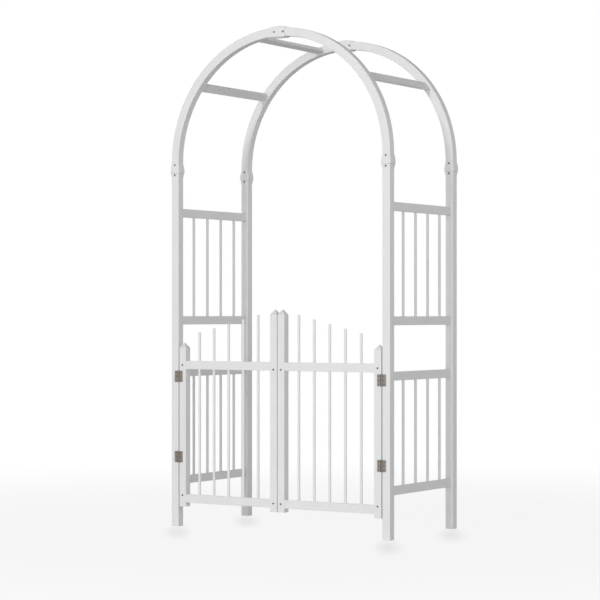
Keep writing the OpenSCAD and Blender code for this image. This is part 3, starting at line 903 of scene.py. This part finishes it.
def rolled_leaf(hinge, node, screws, first, shape):
    """Leaf made from one sheet: its tongues are rolled round the pin, and it is sunk for its screws."""
    pin = middle(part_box(f"{hinge}_pin"))
    low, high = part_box(node)
    bottom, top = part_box(f"{hinge}_post_leaf")[0].z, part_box(f"{hinge}_post_leaf")[1].z
    toward = 1 if high.x - pin.x > pin.x - low.x else -1
    width = max(high.x - pin.x, pin.x - low.x)
    radius = high.y - pin.y
    gap = shape.knuckle_gap
    tall = (top - bottom - (shape.knuckles - 1) * gap) / shape.knuckles

    inner = []
    for index in range(shape.knuckles):
        foot = bottom + index * (tall + gap)
        own = index % 2 == first
        reach = 0 if own else radius + gap
        ends = (foot, foot + tall) if own else (foot - gap, foot + tall + gap)
        inner += [(reach, min(max(end, bottom), top)) for end in ends]
    outline = [(width, top), (width, bottom)] + inner

    bm = bmesh.new()
    front = radius - shape.leaf_thickness
    face = bm.faces.new([bm.verts.new((x, front, z)) for x, z in outline])
    outer = [vert for vert in face.verts if vert.co.x > width - MM / 10]
    bmesh.ops.bevel(
        bm, geom=outer, offset=shape.leaf_corner, offset_type="OFFSET", segments=5, profile=0.5,
        affect="VERTICES", material=-1,
    )
    made = bmesh.ops.extrude_face_region(bm, geom=bm.faces[:])["geom"]
    back = [item for item in made if isinstance(item, bmesh.types.BMVert)]
    bmesh.ops.translate(bm, vec=(0, shape.leaf_thickness, 0), verts=back)
    bmesh.ops.recalc_face_normals(bm, faces=bm.faces)

    tongues = [face for face in bm.faces if all(abs(vert.co.x) < MM / 100 for vert in face.verts)]
    seam = math.asin((front - gap) / radius) - math.radians(3)
    for tongue in tongues:
        rim = tongue.edges[:]
        bmesh.ops.delete(bm, geom=[tongue], context="FACES_ONLY")
        rolled = bmesh.ops.spin(
            bm, geom=rim + list({vert for edge in rim for vert in edge.verts}),
            cent=(0, 0, 0), axis=(0, 0, 1), angle=math.radians(270) + seam,
            steps=30, use_merge=False, use_duplicate=False,
        )["geom_last"]
        last = [item for item in rolled if isinstance(item, bmesh.types.BMEdge)]
        bmesh.ops.contextual_create(bm, geom=last)
    bmesh.ops.recalc_face_normals(bm, faces=bm.faces)
    soften(bm, sharp_edges(bm, 60), shape.leaf_edge)

    bmesh.ops.transform(bm, matrix=Matrix.Diagonal((toward, 1, 1, 1)), verts=bm.verts)
    bmesh.ops.translate(bm, vec=(pin.x, pin.y, 0), verts=bm.verts)
    bmesh.ops.recalc_face_normals(bm, faces=bm.faces)
    holes = [sunk_hole(box, high.y, shape) for box in solids(screws)
             if low.x < middle(box).x < high.x and low.z < middle(box).z < high.z]
    return cut(bm, joined(*holes))


def sunk_hole(box, back, shape):
    """Cutter for a screw's hole through a leaf, with a cone for its head."""
    fit = 0.1 * MM
    head = (box[1].x - box[0].x) / 2
    shank = shape.screw_thread / 2
    face = back - shape.leaf_thickness
    past = 1 * MM
    sink = head - shank
    profile = [
        (0, -past - shape.leaf_thickness), (shank + fit, -past - shape.leaf_thickness),
        (shank + fit, -sink), (head + fit, fit), (head + fit, past), (0, past),
    ]
    bm = spun(profile, segments=40)
    place = Matrix.Translation((middle(box).x, face, middle(box).z))
    bmesh.ops.transform(bm, matrix=place @ Matrix.Rotation(math.radians(90), 4, "X"), verts=bm.verts)
    return bm


def hinge_pin(box, shape):
    """Pin with a rounded head on top and a chamfered foot."""
    low, high = box
    head = (high.x - low.x) / 2
    shank = shape.pin_shank * head
    head_h = 1.2 * MM
    chamfer = 0.35 * MM
    neck = high.z - head_h
    dome = ((1, 0), (1, 0.45), (0.93, 0.72), (0.75, 0.9), (0.45, 0.98), (0, 1))
    profile = [(0, low.z), (shank - chamfer, low.z), (shank, low.z + chamfer), (shank, neck)]
    profile += [(share * head, neck + rise * head_h) for share, rise in dome]
    bm = spun(profile, segments=32)
    bmesh.ops.translate(bm, vec=(middle(box).x, middle(box).y, 0), verts=bm.verts)
    return bm


class GARDENARCH_OT_screws(bpy.types.Operator):
    """Models the screws, with threads and crossed heads"""

    bl_idname = "garden_arch.screws"
    bl_label = "Screws"

    def execute(self, context):
        shape = settings_of(context, "shape")
        finish = settings_of(context, "finish")
        dark = turned_steel("screw_steel_turned", finish.screw_light, finish.screw_dark, finish)
        pale = turned_steel(
            "hinge_screw_steel_turned", finish.hinge_screw_light, finish.hinge_screw_dark, finish,
        )
        for node in ("arch_foot_screws", "arch_crown_screws", "gate_left_screws", "gate_right_screws"):
            add_screws(node, pan_head, shape.pan_height, shape, dark)
        for side in SIDES:
            for part in ("post", "gate"):
                add_screws(f"hinge_{side}_{part}_screws", sunk_head, shape.dome_height, shape, pale)
        return {"FINISHED"}


def add_screws(node, head_profile, proud, shape, material):
    """Puts a screw in each place that a node gives one, with its head towards -Y."""
    boxes = solids(node)
    low, high = boxes[0]
    head = (high.x - low.x) / 2
    length = high.y - low.y - proud
    whole = bmesh.new()
    own_place = whole.verts.layers.float_vector.new("place")
    template = screw(head_profile(head, proud, shape), head, proud, length, shape)
    mesh = bpy.data.meshes.new("screw")
    template.to_mesh(mesh)
    template.free()
    for index, box in enumerate(boxes):
        before = len(whole.verts)
        whole.from_mesh(mesh)
        whole.verts.ensure_lookup_table()
        added = whole.verts[before:]
        for vert in added:
            vert[own_place] = vert.co / MM
        place = Vector((middle(box).x, box[0].y + proud, middle(box).z))
        spin = Matrix.Rotation(index * math.radians(67), 4, "Z")
        stand = Matrix.Translation(place) @ Matrix.Rotation(math.radians(90), 4, "X") @ spin
        bmesh.ops.transform(whole, matrix=stand, verts=added)
    bpy.data.meshes.remove(mesh)
    add_piece(f"{node}_threaded", whole, material, [node], flats=False)


def pan_head(head, proud, shape):
    """Profile of a pan head on a flat washer face, from its middle below to its middle on top."""
    edge, crown, chamfer = shape.head_edge, 0.15 * MM, 0.1 * MM
    flat = head - edge
    rim = proud - crown - edge
    rounding = [(flat + edge * math.cos(a), rim + edge * math.sin(a)) for a in quarter(7)]
    top = [(0.5 * flat, proud - 0.25 * crown), (0, proud)]
    return [(0, 0), (head - chamfer, 0), (head, chamfer)] + rounding + top


def sunk_head(head, proud, shape):
    """Profile of a sunk head with a low dome."""
    shank = shape.screw_thread / 2
    dome = [(head * math.cos(a), proud * math.sin(a)) for a in quarter(6)]
    return [(0, shank - head), (shank, shank - head)] + dome


def quarter(steps):
    return [math.pi / 2 * step / steps for step in range(steps + 1)]


def screw(profile, head, proud, length, shape):
    """Screw along Z with its seat at z = 0 and its point down."""
    head_part = cut(spun(profile, segments=36), cross_cutter(head, proud, shape))
    return joined(head_part, threaded_shank(length, shape))


def cross_cutter(head, proud, shape):
    """Crossed recess that narrows downwards."""
    reach = 0.58 * head
    half = shape.slot_width / 2
    depth = 1.25 * MM
    past = 1 * MM
    narrowing = 0.5
    arm = [(reach, -half), (reach, half), (half, half)]
    turns = [Matrix.Rotation(math.radians(turn), 2) for turn in (0, 90, 180, 270)]
    outline = [turn @ Vector(point) for turn in turns for point in arm]
    bm = bmesh.new()
    top = bm.faces.new([bm.verts.new((x, y, proud + past)) for x, y in outline])
    made = bmesh.ops.extrude_face_region(bm, geom=[top])["geom"]
    foot = [item for item in made if isinstance(item, bmesh.types.BMVert)]
    bmesh.ops.translate(bm, vec=(0, 0, -past - depth), verts=foot)
    bmesh.ops.scale(bm, vec=(narrowing, narrowing, 1), verts=foot)
    bmesh.ops.recalc_face_normals(bm, faces=bm.faces)
    return bm


def threaded_shank(length, shape):
    """Shank with a thread that runs out towards its point."""
    core, crest, pitch = shape.screw_core / 2, shape.screw_thread / 2, shape.thread_pitch
    point, blunt = 3 * MM, 0.1 * MM
    steps = 18
    turns = int((length - 2 * pitch) / pitch)
    bm = bmesh.new()
    start = -length + 1.2 * pitch
    tooth = [(core, 0.0), (core, 0.45 * pitch), (crest, 0.68 * pitch), (crest, 0.76 * pitch), (core, pitch)]
    points = [bm.verts.new((radius, 0, start + rise)) for radius, rise in tooth]
    edges = [bm.edges.new(pair) for pair in zip(points, points[1:])]
    bmesh.ops.spin(
        bm, geom=points + edges, cent=(0, 0, 0), axis=(0, 0, 1), dvec=(0, 0, pitch / steps),
        angle=math.tau * turns, steps=steps * turns, use_merge=False, use_duplicate=False,
    )
    bmesh.ops.remove_doubles(bm, verts=bm.verts, dist=1e-6)
    for vert in bm.verts:
        above = max(vert.co.z + length, 0)
        taper = min(1, (above + blunt) / point)
        vert.co.x *= taper
        vert.co.y *= taper
    rim = [edge for edge in bm.edges if edge.is_boundary]
    bmesh.ops.holes_fill(bm, edges=rim, sides=0)
    bmesh.ops.recalc_face_normals(bm, faces=bm.faces)
    return bm


class GARDENARCH_PT_panel(bpy.types.Panel):
    """Steps of the garden arch"""

    bl_idname = "GARDENARCH_PT_panel"
    bl_label = "Garden Arch"
    bl_space_type = "VIEW_3D"
    bl_region_type = "UI"
    bl_category = "Garden Arch"

    def draw(self, context):
        for step in STEPS:
            self.layout.operator(step.bl_idname)
        for name in SETTINGS:
            box = self.layout.box()
            group = settings_of(context, name)
            for key in group.bl_rna.properties.keys():
                if key not in ("name", "rna_type"):
                    box.prop(group, key)


STEPS = (
    GARDENARCH_OT_stage,
    GARDENARCH_OT_frame,
    GARDENARCH_OT_rails,
    GARDENARCH_OT_rods,
    GARDENARCH_OT_caps,
    GARDENARCH_OT_hinges,
    GARDENARCH_OT_screws,
)
SETTINGS = {"finish": GardenArchFinish, "shape": GardenArchShape, "stage": GardenArchStage}


def register():
    for kind in (*SETTINGS.values(), *STEPS, GARDENARCH_PT_panel):
        bpy.utils.register_class(kind)
    for name, group in SETTINGS.items():
        setattr(bpy.types.Scene, "garden_arch_" + name, PointerProperty(type=group))


def unregister():
    for name in SETTINGS:
        delattr(bpy.types.Scene, "garden_arch_" + name)
    for kind in (GARDENARCH_PT_panel, *reversed(STEPS), *SETTINGS.values()):
        bpy.utils.unregister_class(kind)


def main():
    """Runs every step in order."""
    register()
    for step in STEPS:
        group, name = step.bl_idname.split(".")
        getattr(getattr(bpy.ops, group), name)()


if __name__ == "__main__":
    main()
